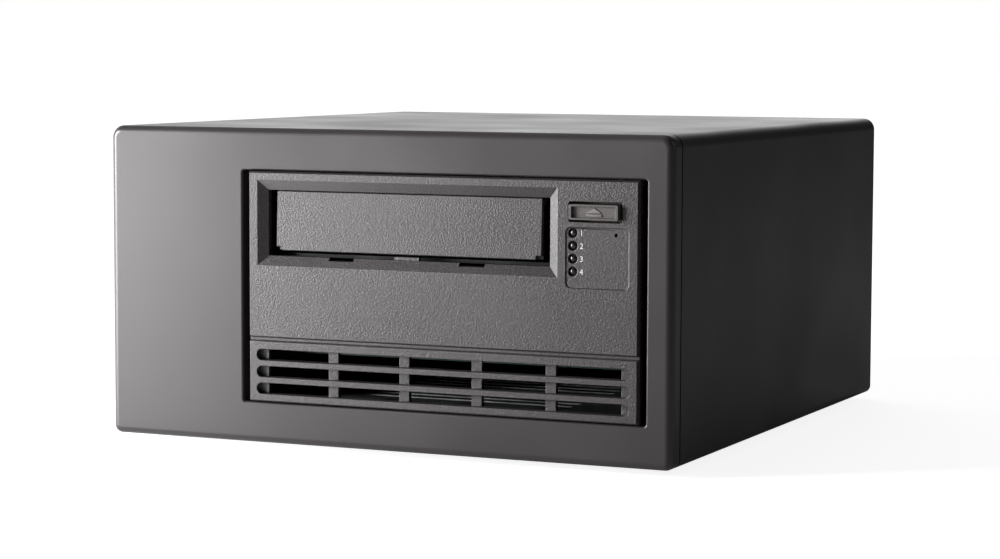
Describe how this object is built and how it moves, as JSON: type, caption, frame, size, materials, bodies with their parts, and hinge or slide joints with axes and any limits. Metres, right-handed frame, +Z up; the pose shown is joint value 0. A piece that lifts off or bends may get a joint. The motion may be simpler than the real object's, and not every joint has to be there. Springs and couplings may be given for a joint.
{
  "type": "data tape drive",
  "caption": "Desktop data tape drive: full-height tape unit with an inward-swinging cartridge door, in a plain sheet-metal case with supply, fan and rear sockets.",
  "frame": {"origin": "under the middle of the whole, on the surface that the feet stand on", "axes": "+X to the right seen from the front, +Y from the front to the back, +Z up"},
  "size_m": [0.221, 0.2428, 0.1165],
  "materials": {
    "black_plastic": "black thermoplastic",
    "bright_steel": "bright plated steel",
    "button_plastic": "smooth charcoal moulding",
    "case_plastic": "satin charcoal moulding",
    "case_steel": "satin charcoal paint on sheet steel",
    "cast_aluminium": "as-cast and turned aluminium",
    "circuit_board": "green solder mask",
    "coated_metal": "black coating on cast aluminium and sheet steel",
    "dark_core": "varnished transformer core and winding",
    "lamp_lens": "smoked clear lens",
    "reel_plastic": "moulded black reel",
    "rubber": "matt black rubber",
    "unit_plastic": "grained charcoal moulding",
    "zinc_steel": "zinc-coated sheet steel"
  },
  "bodies": {
    "enclosure": {"base_chassis": "zinc_steel", "bezel_screw": "bright_steel", "bracket_left": "zinc_steel", "bracket_right": "zinc_steel", "bracket_screws": "bright_steel", "cover_screws": "bright_steel", "data_socket_1": "black_plastic", "data_socket_2": "black_plastic", "door_pin": "bright_steel", "door_spring": "bright_steel", "fan_frame": "black_plastic", "fan_guard": "cast_aluminium", "fan_screws": "bright_steel", "front_bezel": "case_plastic", "head_actuator": "bright_steel", "hub_motor": "cast_aluminium", "inlet_pins": "bright_steel", "jack_screws": "bright_steel", "load_motor": "cast_aluminium", "lower_grille": "unit_plastic", "mains_inlet": "black_plastic", "panel_board": "circuit_board", "rear_panel": "case_steel", "reel_motor": "cast_aluminium", "roller_pins": "bright_steel", "rubber_feet": "rubber", "status_lenses": "lamp_lens", "supply_board": "circuit_board", "supply_capacitors": "cast_aluminium", "supply_case": "zinc_steel", "supply_cover": "zinc_steel", "supply_heatsink": "cast_aluminium", "supply_mounts": "zinc_steel", "supply_transformer": "dark_core", "switch_frame": "black_plastic", "top_cover": "case_steel", "unit_bezel": "unit_plastic", "unit_board": "circuit_board", "unit_bottom_plate": "zinc_steel", "unit_frame": "coated_metal", "unit_screws": "bright_steel", "unit_top_plate": "zinc_steel"},
    "tape_door": {"tape_door": "unit_plastic"},
    "eject_button": {"eject_button": "button_plastic"},
    "cartridge_tray": {"cartridge_tray": "coated_metal"},
    "drive_hub": {"drive_hub": "cast_aluminium"},
    "take_up_reel": {"take_up_reel": "reel_plastic"},
    "guide_roller_1": {"guide_roller_1": "cast_aluminium"},
    "guide_roller_2": {"guide_roller_2": "cast_aluminium"},
    "guide_roller_3": {"guide_roller_3": "cast_aluminium"},
    "guide_roller_4": {"guide_roller_4": "cast_aluminium"},
    "tape_head": {"tape_head": "cast_aluminium"},
    "power_rocker": {"power_rocker": "black_plastic"},
    "fan_rotor": {"fan_rotor": "black_plastic"}
  },
  "joints": [
    {"name": "door_hinge", "type": "hinge", "parent": "enclosure", "child": "tape_door", "pos_m": [0.0103, -0.113, 0.09725], "axis": [1, 0, 0], "range_deg": [0, 84], "stiffness_Nm_per_rad": 0.004, "springref_deg": -22.92},
    {"name": "button_press", "type": "slide", "parent": "enclosure", "child": "eject_button", "axis": [0, 1, 0], "range_m": [0, 0.0012], "stiffness_N_per_m": 900, "springref_m": -0.0006},
    {"name": "tray_lower", "type": "slide", "parent": "enclosure", "child": "cartridge_tray", "axis": [0, 0, -1], "range_m": [0, 0.008]},
    {"name": "hub_spin", "type": "hinge", "parent": "enclosure", "child": "drive_hub", "pos_m": [0.0103, -0.0582, 0.05915], "axis": [0, 0, 1], "continuous": true},
    {"name": "reel_spin", "type": "hinge", "parent": "enclosure", "child": "take_up_reel", "pos_m": [0.0334, 0.0368, 0.05915], "axis": [0, 0, 1], "continuous": true},
    {"name": "roller_1_spin", "type": "hinge", "parent": "enclosure", "child": "guide_roller_1", "pos_m": [-0.0376, -0.0012, 0.05915], "axis": [0, 0, 1], "continuous": true},
    {"name": "roller_2_spin", "type": "hinge", "parent": "enclosure", "child": "guide_roller_2", "pos_m": [-0.0406, 0.0103, 0.05915], "axis": [0, 0, 1], "continuous": true},
    {"name": "roller_3_spin", "type": "hinge", "parent": "enclosure", "child": "guide_roller_3", "pos_m": [-0.0406, 0.0313, 0.05915], "axis": [0, 0, 1], "continuous": true},
    {"name": "roller_4_spin", "type": "hinge", "parent": "enclosure", "child": "guide_roller_4", "pos_m": [-0.0376, 0.0428, 0.05915], "axis": [0, 0, 1], "continuous": true},
    {"name": "head_step", "type": "slide", "parent": "enclosure", "child": "tape_head", "axis": [0, 0, 1], "range_m": [-0.003, 0.003]},
    {"name": "rocker_tip", "type": "hinge", "parent": "enclosure", "child": "power_rocker", "pos_m": [-0.08, 0.1146, 0.0725], "axis": [1, 0, 0], "range_deg": [0, 16]},
    {"name": "fan_spin", "type": "hinge", "parent": "enclosure", "child": "fan_rotor", "pos_m": [0.066, 0.1079, 0.0605], "axis": [0, 1, 0], "continuous": true}
  ]
}
